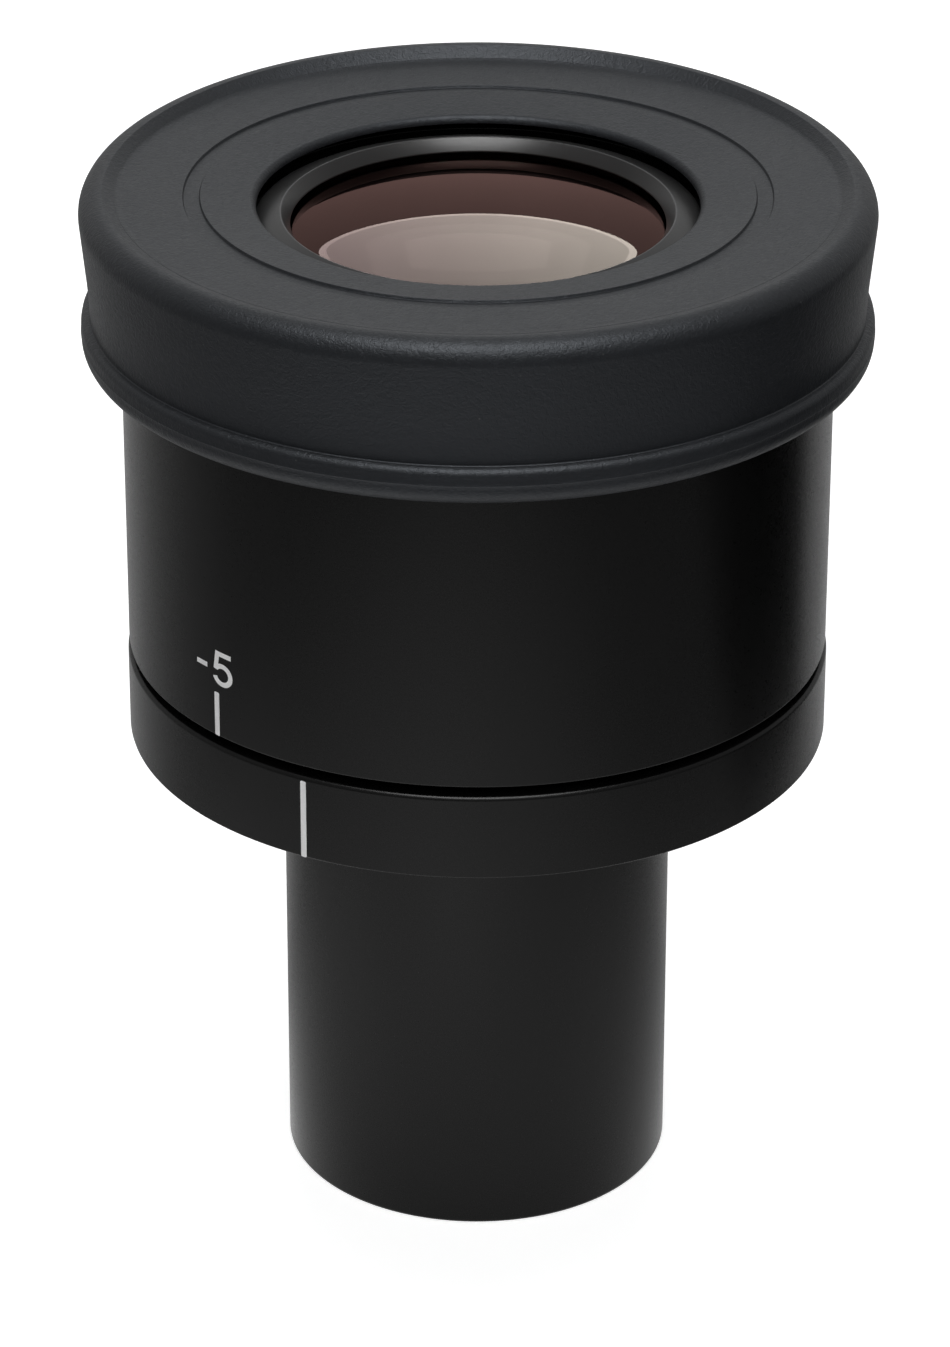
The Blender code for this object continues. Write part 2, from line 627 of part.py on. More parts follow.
def buildHelicoidNut(knob):
    outline = [
        (nutBore, nutZ),
        (nutR, nutZ),
        (nutR, nutTopZ),
        (nutPocketR, nutTopZ),
        (nutPocketR, sleeveTopZ),
        (nutBore, sleeveTopZ),
    ]
    nut = turned("helicoid_nut", nutZ, outline, INNER_SIDES, BRASS, knob)
    for number, angle in enumerate(evenAngles(THREAD_STARTS, THREAD_ANGLE), 1):
        lug = helicalBar(
            f"lug_{number}",
            sleeveR - THREAD_DEPTH + RUN_GAP,
            nutBore + NUT_WALL,
            THREAD_WIDTH - 2.0 * THREAD_SIDE_GAP,
            angle,
            nutZ + LUG_HEIGHT,
            LUG_SWEEP,
            LUG_STEP,
            knob,
        )
        combine(nut, lug, "UNION")


# The knob: a shell round the nut, a web over it, and a neck that carries the eyecup.
def buildDioptreRing(knob):
    outline = [
        (knobBore, knobZ),
        (knobR - KNOB_CHAMFER, knobZ),
        (knobR, knobZ + KNOB_CHAMFER),
        (knobR, knobShoulderZ - KNOB_SHOULDER_CHAMFER),
        (knobR - KNOB_SHOULDER_CHAMFER, knobShoulderZ),
        (neckR, knobShoulderZ),
        (neckR, neckTopZ),
        (neckBore, neckTopZ),
        (neckBore, knobShoulderZ - KNOB_WEB),
        (knobBore, knobShoulderZ - KNOB_WEB),
    ]
    ring = turned("dioptre_ring", knobZ, outline, OUTER_SIDES, ANODISED, knob)
    screwZ = knobShoulderZ - LOCK_SCREW_DROP
    for number, angle in enumerate(evenAngles(SCREW_COUNT, LOCK_SCREW_ANGLE), 1):
        name = f"lock_screw_{number}"
        piece = screw(name, SCREW_R, SCREW_R, SEAT_GAP, LOCK_SCREW_LENGTH - SEAT_GAP, STEEL, knob)
        pointOutwards(piece, knobBore + LOCK_SCREW_LENGTH - SEAT_GAP, screwZ, angle)
        hole = rod(f"{name}_hole", SCREW_R + SEAT_GAP, -KNOB_WALL, KNOB_WALL, SCREW_SIDES, knob)
        pointOutwards(hole, knobBore + KNOB_WALL / 2.0, screwZ, angle)
        combine(ring, hole, "DIFFERENCE")


# The spring washer and the ring above it keep the cell's flange down on the nut's shoulder.
def buildThrustRings(knob):
    washer = plainRing(sleeveBore, cellFlangeR, 0.0, WASHER_THICKNESS)
    bm = turnedMesh(washer, INNER_SIDES)
    for vert in bm.verts:
        angle = math.atan2(vert.co.y, vert.co.x)
        vert.co.z += WASHER_WAVE / 2.0 * (1.0 + math.sin(WASHER_WAVES * angle))
    paint(makeObject("wave_washer", bm, washerZ, knob), STEEL)
    wall = plainRing(sleeveBore, cellFlangeR, thrustZ, thrustZ + THRUST_HEIGHT)
    ring = turned("thrust_ring", thrustZ, wall, INNER_SIDES, BRASS, knob)
    topZ = thrustZ + THRUST_HEIGHT
    cutSpannerSlots(ring, cellFlangeR, topZ - SPANNER_DEPTH, topZ + SPANNER_DEPTH, knob)


# The eyecup: a collar round the neck, an inner lip over it, a fold groove, and the skirt that is
# turned down outside the knob and ends in a bead.
def buildEyecup(cup):
    apertureR = neckBore - CUP_OVERHANG
    lipZ = neckTopZ + SEAT_GAP
    edgeZ = lipZ + CUP_LIP
    grooveR = neckR + CUP_GROOVE_SETBACK
    grooveZ = edgeZ + CUP_TOP_RISE
    grooveOuterR = grooveR + CUP_GROOVE_WIDTH
    creaseZ = grooveZ + CUP_CREASE_RISE
    skirtR = knobR + CUP_SIDE_GAP
    shoulderR = skirtR + CUP_WALL
    waistR = skirtR + CUP_WAIST_WALL
    bottomZ = creaseZ - CUP_HEIGHT
    beadTopR = waistR - CUP_WAIST_STEP
    beadTopZ = bottomZ + CUP_BEAD_HEIGHT
    beadR = beadTopR + CUP_BEAD_PROUD
    collarBoreR = neckR + SEAT_GAP
    collarR = collarBoreR + CUP_COLLAR_WALL
    collarZ = knobShoulderZ + SEAT_GAP
    underZ = creaseZ - CUP_WEB
    outline = [(apertureR, lipZ)]
    outline += corner(apertureR + CUP_LIP_RADIUS, edgeZ - CUP_LIP_RADIUS, CUP_LIP_RADIUS, 180.0, 90.0, 2)
    outline += [
        (grooveR, grooveZ),
        (grooveR + CUP_GROOVE_WIDTH / 2.0, grooveZ - CUP_GROOVE_DEPTH),
        (grooveOuterR, grooveZ),
        (shoulderR - CUP_CREASE_SETBACK, creaseZ),
    ]
    arcR = shoulderR - CUP_SHOULDER_RADIUS
    arcZ = creaseZ + CUP_ROLL_RISE - CUP_SHOULDER_RADIUS
    outline += corner(arcR, arcZ, CUP_SHOULDER_RADIUS, 90.0, 0.0, 3)
    outline += [(waistR, creaseZ - CUP_WAIST_DROP), (beadTopR, beadTopZ)]
    outline += corner(beadTopR, beadTopZ - CUP_BEAD_PROUD, CUP_BEAD_PROUD, 60.0, 0.0, 1)
    outline += corner(beadR - CUP_BEAD_RADIUS, bottomZ + CUP_BEAD_RADIUS, CUP_BEAD_RADIUS, 0.0, -90.0, 3)
    outline += [
        (skirtR, bottomZ + CUP_LIP_RADIUS),
        (skirtR, underZ - CUP_LIP_RADIUS),
        (skirtR - CUP_LIP_RADIUS, underZ),
        (collarR, underZ),
        (collarR, collarZ),
        (collarBoreR, collarZ),
        (collarBoreR, lipZ),
    ]
    turned("eyecup", collarZ, outline, OUTER_SIDES, RUBBER, cup)


def main():
    for item in list(bpy.data.objects):
        bpy.data.objects.remove(item)
    carriage = axisEmpty("lens_carriage_axis", None)
    knob = axisEmpty("dioptre_knob_axis", carriage)
    cup = axisEmpty("eyecup_axis", knob)
    buildTube()
    buildFieldStop()
    baseRing = buildBaseRing()
    sleeve = buildGuideSleeve()
    buildSleeveScrews(baseRing, sleeve)
    cell = buildLensCell(carriage)
    buildEyeLensRetainer(carriage)
    buildLenses(carriage)
    buildLensRings(carriage)
    buildGuideKey(cell, carriage)
    buildHelicoidNut(knob)
    buildDioptreRing(knob)
    buildThrustRings(knob)
    buildEyecup(cup)


main()
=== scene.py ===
import math

import bmesh
import bpy
from mathutils import Matrix, Vector


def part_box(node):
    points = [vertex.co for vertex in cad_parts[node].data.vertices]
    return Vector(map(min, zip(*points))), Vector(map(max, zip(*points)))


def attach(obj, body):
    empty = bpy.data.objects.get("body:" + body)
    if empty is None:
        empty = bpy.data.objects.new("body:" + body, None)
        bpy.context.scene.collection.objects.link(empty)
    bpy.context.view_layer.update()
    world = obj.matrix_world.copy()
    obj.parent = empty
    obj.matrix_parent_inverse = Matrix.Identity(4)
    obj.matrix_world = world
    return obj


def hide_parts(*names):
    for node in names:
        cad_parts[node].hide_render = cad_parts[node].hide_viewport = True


mm = 0.001
hair = 0.005 * mm  # two corners closer than this count as one place


# A socket's value. Arithmetic on it adds Math nodes.
class Signal:
    def __init__(self, recipe, socket):
        self.recipe = recipe
        self.socket = socket

    def out(self, name):
        return Signal(self.recipe, self.socket.node.outputs[name])

    def math(self, operation, *others):
        return self.recipe.node("ShaderNodeMath", {"operation": operation}, [self, *others])

    def swapped(self, operation, other):
        return self.recipe.node("ShaderNodeMath", {"operation": operation}, [other, self])

    def __add__(self, other):
        return self.math("ADD", other)

    def __sub__(self, other):
        return self.math("SUBTRACT", other)

    def __rsub__(self, other):
        return self.swapped("SUBTRACT", other)

    def __mul__(self, other):
        return self.math("MULTIPLY", other)

    def __lt__(self, other):
        return self.math("LESS_THAN", other)

    __radd__ = __add__
    __rmul__ = __mul__


# A node tree being filled: a material's or the world's.
class Recipe:
    def __init__(self, tree):
        self.tree = tree
        self.tree.nodes.clear()

    def node(self, kind, settings=None, inputs=(), output=0):
        node = self.tree.nodes.new(kind)
        for name, value in (settings or {}).items():
            if name == "stops":
                self.setStops(node.color_ramp, value)
            else:
                setattr(node, name, value)
        pairs = inputs.items() if isinstance(inputs, dict) else enumerate(inputs)
        for name, value in pairs:
            self.feed(node.inputs[name], value)
        return Signal(self, node.outputs[output]) if len(node.outputs) else None

    def feed(self, socket, value):
        if isinstance(value, Signal):
            self.tree.links.new(value.socket, socket)
        else:
            socket.default_value = value

    def setStops(self, ramp, stops):
        while len(ramp.elements) < len(stops):
            ramp.elements.new(0.5)
        for element, (place, grey) in zip(ramp.elements, stops):
            element.position = place
            element.color = (grey, grey, grey, 1.0)

    # Position on the object, in metres, stretched by the three factors.
    def place(self, stretch=(1.0, 1.0, 1.0)):
        coordinates = self.node("ShaderNodeTexCoord", output=3)
        return self.node("ShaderNodeMapping", {}, {"Vector": coordinates, "Scale": stretch})

    def axes(self):
        return self.node("ShaderNodeSeparateXYZ", {}, [self.place()])

    def noise(self, scale, detail=2.0, roughness=0.5, stretch=(1.0, 1.0, 1.0), distortion=0.0):
        inputs = {
            "Vector": self.place(stretch),
            "Scale": scale,
            "Detail": detail,
            "Roughness": roughness,
            "Distortion": distortion,
        }
        return self.node("ShaderNodeTexNoise", {}, inputs)

    # Small round spots, one to a cell, in a share of the cells.
    def specks(self, scale, size, share):
        cells = self.node("ShaderNodeTexVoronoi", {}, {"Vector": self.place(), "Scale": scale})
        chosen = self.node("ShaderNodeSeparateColor", {}, [cells.out("Color")]) < share
        return (cells < size) * chosen

    def ramp(self, signal, stops):
        return self.node("ShaderNodeValToRGB", {"stops": stops}, [signal])

    def mix(self, factor, first, second):
        return self.node("ShaderNodeMix", {"data_type": "RGBA"}, {0: factor, 6: first, 7: second}, 2)

    def bump(self, height, strength, distance):
        inputs = {"Height": height, "Strength": strength, "Distance": distance}
        return self.node("ShaderNodeBump", {}, inputs)


def newMaterial(name):
    material = bpy.data.materials.new(name)
    material.use_nodes = True
    return material, Recipe(material.node_tree)


# The end of a material: one Principled shader with its sockets set or linked.
def finishMaterial(recipe, sockets):
    shader = recipe.node("ShaderNodeBsdfPrincipled", {}, sockets)
    recipe.node("ShaderNodeOutputMaterial", {}, [shader])


def colour(red, green, blue):
    return (red, green, blue, 1.0)


# Heights of a CAD node's corners, lowest first.
def heightsOf(node):
    return sorted({round(vert.co.z, 6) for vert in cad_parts[node].data.vertices})


# Smallest and largest radius of a CAD node's corners between two heights.
def radiiBetween(node, low, high):
    places = [vert.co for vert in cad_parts[node].data.vertices]
    radii = [math.hypot(place.x, place.y) for place in places if low <= place.z <= high]
    return min(radii), max(radii)


def radiiAt(node, height):
    return radiiBetween(node, height - hair, height + hair)


def atRing(vert, radius, height):
    return abs(vert.co.xy.length - radius) < hair and abs(vert.co.z - height) < hair


def spinRound(bm, geom, sides):
    bmesh.ops.spin(
        bm,
        geom=geom,
        axis=(0.0, 0.0, 1.0),
        cent=(0.0, 0.0, 0.0),
        angle=2.0 * math.pi,
        steps=sides,
        use_merge=True,
    )
    bmesh.ops.remove_doubles(bm, verts=bm.verts, dist=0.001 * mm)
    bmesh.ops.recalc_face_normals(bm, faces=bm.faces)


def roundOff(bm, edges, size, segments):
    bmesh.ops.bevel(
        bm,
        geom=edges,
        offset=size,
        offset_type="OFFSET",
        affect="EDGES",
        segments=segments,
        profile=0.5,
        material=-1,
    )


# A turned piece. Each corner of its outline has a radius, a height and a rounding.
def turnedMesh(corners, sides, segments=4):
    bm = bmesh.new()
    verts = [bm.verts.new((radius, 0.0, height)) for radius, height, _ in corners]
    edges = [bm.edges.new(pair) for pair in zip(verts, verts[1:] + verts[:1])]
    spinRound(bm, verts + edges, sides)
    for radius, height, rounding in corners:
        if rounding > 0.0:
            ring = [edge for edge in bm.edges if all(atRing(v, radius, height) for v in edge.verts)]
            roundOff(bm, ring, rounding, segments if rounding < mm else 3 * segments)
    return bm


def newObject(name, bm):
    mesh = bpy.data.meshes.new(name)
    bm.to_mesh(mesh)
    bm.free()
    item = bpy.data.objects.new(name, mesh)
    bpy.context.scene.collection.objects.link(item)
    return item


# Keeps the shading of a wide face level up to its rounded edges.
def levelShading(piece):
    piece.modifiers.new("level shading", "WEIGHTED_NORMAL").keep_sharp = True


# Turns a bmesh into a piece that rides on a body and stands for CAD nodes.
def addPiece(name, bm, material, body, replaced=(), sharp=40.0):
    bmesh.ops.recalc_face_normals(bm, faces=bm.faces)
    piece = newObject(name, bm)
    piece.data.shade_smooth()
    piece.data.set_sharp_from_angle(angle=math.radians(sharp))
    piece.data.materials.append(material)
    levelShading(piece)
    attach(piece, body)
    if replaced:
        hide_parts(*replaced)
    return piece


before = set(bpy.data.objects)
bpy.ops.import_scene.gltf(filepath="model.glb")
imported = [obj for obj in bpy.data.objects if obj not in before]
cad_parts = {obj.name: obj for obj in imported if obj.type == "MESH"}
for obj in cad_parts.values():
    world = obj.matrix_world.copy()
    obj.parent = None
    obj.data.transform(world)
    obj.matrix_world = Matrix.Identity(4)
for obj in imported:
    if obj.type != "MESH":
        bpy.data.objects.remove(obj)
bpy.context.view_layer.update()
print("frame loaded:", len(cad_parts), "nodes")

anodisedLook = {
    "colour": colour(0.0012, 0.0012, 0.0012),
    "worn": colour(0.0024, 0.0024, 0.0024),
    "grain": 4200.0,  # worms of the blasted surface per metre
    "grainDepth": 0.008 * mm,
    "roughness": 0.28,
    "shine": 0.08,
}


# Blasted and anodised metal: fine worm-like grain, faint smears, a little wear.
def anodised(name, look):
    material, recipe = newMaterial(name)
    grain = recipe.noise(look["grain"], 3.0, 0.6, distortion=0.6)
    smear = recipe.noise(90.0, 3.0, 0.55, stretch=(1.0, 1.0, 0.35))
    tint = recipe.mix(recipe.ramp(smear, [(0.35, 0.0), (0.75, 1.0)]), look["colour"], look["worn"])
    sockets = {
        "Base Color": tint,
        "Roughness": look["roughness"] + (grain - 0.5) * 0.16 + (smear - 0.5) * 0.14,
        "Specular IOR Level": look["shine"],
        "Normal": recipe.bump(grain, 0.5, look["grainDepth"]),
    }
    finishMaterial(recipe, sockets)
    return material


mattLook = {
    "colour": colour(0.0030, 0.0030, 0.0030),
    "worn": colour(0.0055, 0.0055, 0.0058),
    "turning": 2600.0,
    "turningDepth": 0.01 * mm,
    "roughness": 0.62,
    "shine": 0.2,
}


# Matt black paint over turned metal, inside the barrel and the lens cell.
def mattBlack(name, look):
    material, recipe = newMaterial(name)
    turning = recipe.noise(look["turning"], 2.0, 0.5, stretch=(0.05, 0.05, 1.0))
    sockets = {
        "Base Color": recipe.mix(turning, look["colour"], look["worn"]),
        "Roughness": look["roughness"] + (turning - 0.5) * 0.2,
        "Specular IOR Level": look["shine"],
        "Normal": recipe.bump(turning, 0.3, look["turningDepth"]),
    }
    finishMaterial(recipe, sockets)
    return material


rubberLook = {
    "colour": colour(0.0038, 0.0042, 0.0052),
    "dusty": colour(0.0058, 0.0064, 0.0078),
    "dust": colour(0.03, 0.03, 0.03),
    "cloud": 130.0,
    "specks": 700.0,
    "grain": 2900.0,
    "grainDepth": 0.08 * mm,
    "roughness": 0.50,
    "shine": 0.155,
    "sheenTint": colour(0.88, 0.935, 1.0),
}


# Moulded rubber with a fine sparked grain, a breath of dust and a few pale specks.
def rubber(name, look):
    material, recipe = newMaterial(name)
    grain = recipe.noise(look["grain"], 2.5, 0.62, distortion=0.9)
    cloud = recipe.noise(look["cloud"], 3.0, 0.6)
    tint = recipe.mix(recipe.ramp(cloud, [(0.3, 0.0), (0.8, 1.0)]), look["colour"], look["dusty"])
    sockets = {
        "Base Color": recipe.mix(recipe.specks(look["specks"], 0.05, 0.16), tint, look["dust"]),
        "Roughness": look["roughness"] + (grain - 0.5) * 0.22 + (cloud - 0.5) * 0.08,
        "Specular IOR Level": look["shine"],
        "Specular Tint": look["sheenTint"],
        "Normal": recipe.bump(grain, 0.7, look["grainDepth"]),
    }
    finishMaterial(recipe, sockets)
    return material


paintLook = {
    "colour": colour(0.86, 0.86, 0.86),
    "fresh": colour(0.96, 0.96, 0.96),
    "fleck": 5200.0,
    "fleckDepth": 0.01 * mm,
    "roughness": 0.5,
}


# Printed paint of the marks, very slightly uneven.
def paint(name, look):
    material, recipe = newMaterial(name)
    fleck = recipe.noise(look["fleck"], 2.0, 0.5)
    sockets = {
        "Base Color": recipe.mix(fleck, look["colour"], look["fresh"]),
        "Roughness": look["roughness"] + (fleck - 0.5) * 0.1,
        "Normal": recipe.bump(fleck, 0.35, look["fleckDepth"]),
    }
    finishMaterial(recipe, sockets)
    return material


brassLook = {
    "colour": colour(0.58, 0.40, 0.16),
    "dark": colour(0.42, 0.28, 0.10),
    "lathe": 5200.0,
    "latheDepth": 0.006 * mm,
    "patch": 240.0,
    "roughness": 0.34,
}
steelLook = {
    **brassLook,
    "colour": colour(0.56, 0.56, 0.58),
    "dark": colour(0.40, 0.40, 0.42),
    "roughness": 0.30,
}


# Bare metal with fine lathe lines round the axis and a little tarnish.
def turnedMetal(name, look):
    material, recipe = newMaterial(name)
    lathe = recipe.noise(look["lathe"], 2.0, 0.6, stretch=(0.04, 0.04, 1.0))
    patch = recipe.noise(look["patch"], 3.0, 0.5)
    sockets = {
        "Base Color": recipe.mix(patch, look["colour"], look["dark"]),
        "Metallic": 1.0,
        "Roughness": look["roughness"] + (lathe - 0.5) * 0.25,
        "Normal": recipe.bump(lathe, 0.35, look["latheDepth"]),
    }
    finishMaterial(recipe, sockets)
    return material


opticalGlass = {
    "ior": 1.52,
    "polish": 0.0,
    "wiped": 110.0,
    "purpleCoating": colour(0.425, 0.247, 0.222),
    "purpleBody": colour(0.15, 0.15, 0.15),
    "greenCoating": colour(0.06, 0.10, 0.07),
    "greenBody": colour(0.35, 0.35, 0.35),
}


# Coated optical glass: a mirror in the coating's colour over clear glass, with faint wipe marks.
def glass(name, coating, body):
    material, recipe = newMaterial(name)
    wiped = recipe.noise(opticalGlass["wiped"], 3.0, 0.6, stretch=(1.0, 0.5, 1.0))
    facing = recipe.node("ShaderNodeFresnel", {}, {"IOR": opticalGlass["ior"]})
    clear = {"Color": body, "Roughness": 0.0, "IOR": opticalGlass["ior"]}
    inside = recipe.node("ShaderNodeBsdfRefraction", {}, clear)
    polished = {"Color": coating, "Roughness": opticalGlass["polish"]}
    mirror = recipe.node("ShaderNodeBsdfAnisotropic", {}, polished)
    share = facing * (0.9 + 0.2 * wiped)
    coated = recipe.node("ShaderNodeMixShader", {}, [share, inside, mirror])
    recipe.node("ShaderNodeOutputMaterial", {}, [coated])
    return material


retainerLook = {
    **anodisedLook,
    "colour": colour(0.016, 0.016, 0.016),
    "worn": colour(0.024, 0.024, 0.024),
    "roughness": 0.32,
    "shine": 0.14,
}

blackAnodised = anodised("satin black anodised", anodisedLook)
retainerBlack = anodised("retainer black", retainerLook)
mattInside = mattBlack("matt black inside", mattLook)
blackRubber = rubber("grained black rubber", rubberLook)
whitePaint = paint("white filling paint", paintLook)
brass = turnedMetal("turned brass", brassLook)
steel = turnedMetal("turned steel", steelLook)
purpleCoated = glass("purple coated glass", opticalGlass["purpleCoating"], opticalGlass["purpleBody"])
greenCoated = glass("green coated glass", opticalGlass["greenCoating"], opticalGlass["greenBody"])
print("finishes ready")

tube = {
    "sides": 192,
    "endRounding": 0.35 * mm,
    "boreRounding": 0.15 * mm,
    "edge": 0.1 * mm,
    "wall": 1.3 * mm,
    "flangeClamp": 1.2 * mm,
    "ledgeBand": (28.0 * mm, 30.0 * mm),
}


def buildTube():
    low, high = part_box("insertion_tube")
    outer = radiiBetween("insertion_tube", low.z, low.z + mm)[1]
    bore = outer - tube["wall"]
    ledge = radiiBetween("insertion_tube", *tube["ledgeBand"])[0]
    flangeZ = high.z - tube["flangeClamp"]
    near = 0.02 * mm
    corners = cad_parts["insertion_tube"].data.vertices
    ledges = sorted({round(v.co.z, 6) for v in corners if abs(v.co.xy.length - ledge) < near})
    outline = [
        (bore, low.z, tube["boreRounding"]),
        (outer, low.z, tube["endRounding"]),
        (outer, flangeZ, 0.0),
        (high.x, flangeZ, tube["edge"]),
        (high.x, high.z, tube["edge"]),
        (bore, high.z, tube["edge"]),
        (bore, ledges[-1], 0.0),
        (ledge, ledges[-1], tube["edge"]),
        (ledge, ledges[0], tube["edge"]),
        (bore, ledges[0], 0.0),
    ]
    bm = turnedMesh(outline, tube["sides"])
    piece = addPiece("tube", bm, blackAnodised, "barrel", ["insertion_tube"])
    piece.data.materials.append(mattInside)
    for polygon in piece.data.polygons:
        polygon.material_index = 1 if polygon.center.xy.length < bore + 0.05 * mm else 0


buildTube()

ring = {
    "sides": 256,
    "topChamfer": 0.34 * mm,
    "edge": 0.12 * mm,
    "indexAngle": -28.4,
    "indexWidth": 0.465 * mm,
    "indexEdge": 0.02 * mm,  # bare metal past both ends of the line
    "clearance": 0.3 * mm,
}


def buildBaseRing():
    low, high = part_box("base_ring")
    gap = ring["clearance"]
    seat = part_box("insertion_tube")[1].z - tube["flangeClamp"] - gap
    bore = radiiAt("base_ring", low.z)[0]
    pocket = radiiAt("base_ring", high.z)[0]
    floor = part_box("guide_sleeve")[0].z - gap
    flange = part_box("insertion_tube")[1].x + gap
    outline = [
        (bore, low.z, ring["edge"]),
        (high.x, low.z, ring["edge"]),
        (high.x, high.z, ring["topChamfer"]),
        (pocket, high.z, ring["edge"]),
        (pocket, floor, 0.0),
        (flange, floor, 0.0),
        (flange, seat, 0.0),
        (bore, seat, 0.0),
    ]
    bm = turnedMesh(outline, ring["sides"], 3)
    addPiece("base_ring_turned", bm, blackAnodised, "barrel", ["base_ring"])


buildBaseRing()
print("barrel built")

marks = {
    "proud": 0.015 * mm,
    "depth": 0.15 * mm,
    "corner": 0.09 * mm,
    "tickWidth": 0.5 * mm,
    "tickTop": 3.68 * mm,  # above the knob's lower edge
    "tickStart": 0.1 * mm,
    "digitBase": 4.33 * mm,
    "digitHeight": 2.8 * mm,
    "digitWidth": 2.13 * mm,
    "stroke": 0.39 * mm,
    "signLength": 1.2 * mm,
    "signGap": 0.6 * mm,
    "digitShift": 0.66 * mm,  # a digit with a sign stands this much right of its line
    "firstAngle": -45.9,  # the -5 mark, with the knob at its lower stop
    "perDioptre": 18.0,
    "arcSteps": 30,
}


# A straight stroke of paint between two points of the flat surface.
def addStroke(bm, start, end, width):
    made = bmesh.ops.create_cube(bm, size=1.0)["verts"]
    run = Vector(end) - Vector(start)
    bmesh.ops.scale(bm, vec=(width, run.length, marks["depth"]), verts=made)
    turn = Matrix.Rotation(math.atan2(-run.x, run.y), 3, "Z")
    bmesh.ops.rotate(bm, cent=(0.0, 0.0, 0.0), matrix=turn, verts=made)
    middle = (Vector(start) + Vector(end)) / 2.0
    bmesh.ops.translate(bm, vec=(middle.x, middle.y, marks["proud"] - marks["depth"] / 2.0), verts=made)
    return made


# A round stroke: a small upright face spun about a centre, then widened.
def addBowl(bm, centre, radius, start, sweep, widen):
    top = marks["proud"]
    low = top - marks["depth"]
    inner = radius - marks["stroke"]
    section = ((inner, low), (radius, low), (radius, top), (inner, top))
    verts = [bm.verts.new((reach, 0.0, height)) for reach, height in section]
    face = bm.faces.new(verts)
    turn = Matrix.Rotation(math.radians(start), 3, "Z")
    bmesh.ops.rotate(bm, cent=(0.0, 0.0, 0.0), matrix=turn, verts=verts)
    before = set(bm.verts) - set(verts)
    closed = abs(sweep) >= 360.0
    bmesh.ops.spin(
        bm,
        geom=[face, *face.edges, *verts],
        axis=(0.0, 0.0, 1.0),
        cent=(0.0, 0.0, 0.0),
        angle=math.radians(sweep),
        steps=marks["arcSteps"],
        use_merge=closed,
    )
    made = [vert for vert in bm.verts if vert not in before]
    bmesh.ops.scale(bm, vec=(widen, 1.0, 1.0), verts=made)
    bmesh.ops.translate(bm, vec=(centre[0], centre[1], 0.0), verts=made)


# Digits and signs, each drawn from its left edge. They give back their width.
def drawFive(bm, left):
    height, width, stroke = marks["digitHeight"], marks["digitWidth"], marks["stroke"]
    radius = 0.333 * height
    addBowl(bm, (left + width / 2.0, radius), radius, 142.0, -304.0, width / 2.0 / radius)
    bar = height - stroke / 2.0
    addStroke(bm, (left + 0.17 * width, bar), (left + 0.93 * width, bar), stroke)
    addStroke(bm, (left + 0.16 * width, 0.46 * height), (left + 0.27 * width, height), 1.1 * stroke)
    return width


def drawZero(bm, left):
    height, width = marks["digitHeight"], marks["digitWidth"]
    radius = height / 2.0
    addBowl(bm, (left + width / 2.0, radius), radius, 0.0, 360.0, width / height)
    return width


def drawMinus(bm, left):
    height = 0.45 * marks["digitHeight"]
    addStroke(bm, (left, height), (left + marks["signLength"], height), marks["stroke"])
    return marks["signLength"]


def drawPlus(bm, left):
    half = marks["signLength"] / 2.0
    height = 0.45 * marks["digitHeight"]
    drawMinus(bm, left)
    addStroke(bm, (left + half, height - half), (left + half, height + half), marks["stroke"])
    return marks["signLength"]


# Wraps a flat bmesh, with X along the surface and Y up, round a cylinder at an angle from the front.
def wrapRound(bm, radius, angle, height):
    start = math.radians(angle)
    for vert in bm.verts:
        turn = start + vert.co.x / radius
        reach = radius + vert.co.z
        vert.co = Vector((reach * math.sin(turn), -reach * math.cos(turn), height + vert.co.y))


def isUpright(edge):
    return (edge.verts[0].co - edge.verts[1].co).xy.length < 0.001 * mm


def addLine(name, radius, angle, low, high, width, body):
    bm = bmesh.new()
    addStroke(bm, (0.0, 0.0), (0.0, high - low), width)
    roundOff(bm, [edge for edge in bm.edges if isUpright(edge)], marks["corner"], 3)
    wrapRound(bm, radius, angle, low)
    addPiece(name, bm, whitePaint, body)


def addLabel(name, drawing, radius, angle, low):
    bm = bmesh.new()
    left = 0.0
    for draw in drawing:
        left += draw(bm, left) + marks["signGap"]
    shift = left - marks["signGap"] - marks["digitWidth"] / 2.0
    if len(drawing) > 1:
        shift -= marks["digitShift"]
    bmesh.ops.translate(bm, vec=(-shift, 0.0, 0.0), verts=bm.verts)
    wrapRound(bm, radius, angle, low)
    addPiece(name, bm, whitePaint, "dioptre_knob")


def buildMarks():
    low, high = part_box("base_ring")
    start = low.z + ring["indexEdge"]
    top = high.z - ring["topChamfer"] - ring["indexEdge"]
    addLine("index_line", high.x, ring["indexAngle"], start, top, ring["indexWidth"], "barrel")
    low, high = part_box("dioptre_ring")
    labels = {
        "minus_5": (-5, [drawMinus, drawFive]),
        "zero": (0, [drawZero]),
        "plus_5": (5, [drawPlus, drawFive]),
    }
    for label, (dioptres, drawing) in labels.items():
        angle = marks["firstAngle"] - (dioptres + 5) * marks["perDioptre"]
        start, top = low.z + marks["tickStart"], low.z + marks["tickTop"]
        addLine(f"tick_{label}", high.x, angle, start, top, marks["tickWidth"], "dioptre_knob")
        addLabel(f"number_{label}", drawing, high.x, angle, low.z + marks["digitBase"])


buildMarks()
print("marks built")

knob = {
    "sides": 256,
    "lowerEdge": 0.2 * mm,
    "shoulderEdge": 0.4 * mm,
    "edge": 0.12 * mm,
    "screwHole": 0.9 * mm,  # radius
    "drillLength": 10.0 * mm,
    "drillSides": 32,
}


